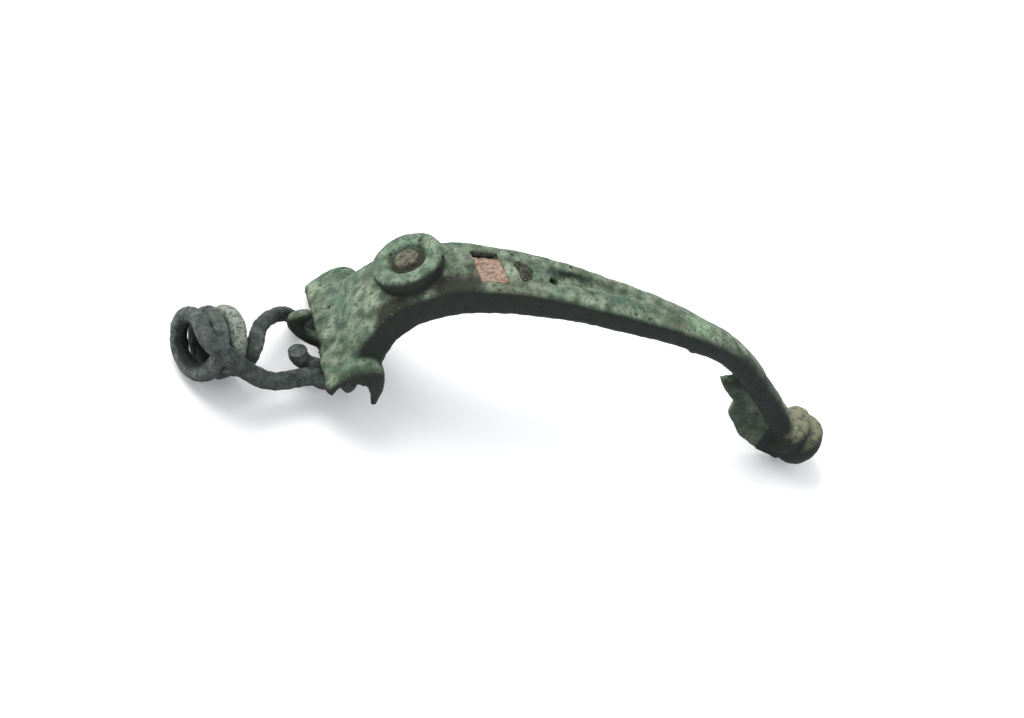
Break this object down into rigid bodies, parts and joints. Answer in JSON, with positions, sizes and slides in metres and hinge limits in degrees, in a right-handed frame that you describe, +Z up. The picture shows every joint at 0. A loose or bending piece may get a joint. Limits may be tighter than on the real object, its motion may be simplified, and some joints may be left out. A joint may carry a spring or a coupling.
{
  "type": "roman fibula brooch",
  "caption": "Roman headstud bow brooch: corroded bronze casting with enamel remains, foot knob, broken catchplate and a coiled wire head loop.",
  "frame": {"origin": "middle of the bounding box at the ground the brooch rests on", "axes": "+X along the brooch from the head loop to the foot knob, +Z up as it lies loose"},
  "size_m": [0.0728, 0.017, 0.0181],
  "materials": {
    "bronze": "matte green patina",
    "wire": "matte grey-green patina",
    "brown_filling": "matte",
    "red_enamel": "matte, granular"
  },
  "bodies": {
    "root": {"brooch_body": "bronze", "head_loop": "wire", "spring_stub": "wire", "stud_enamel": "brown_filling", "enamel_first_cell": "red_enamel", "enamel_second_cell": "brown_filling"}
  },
  "joints": []
}
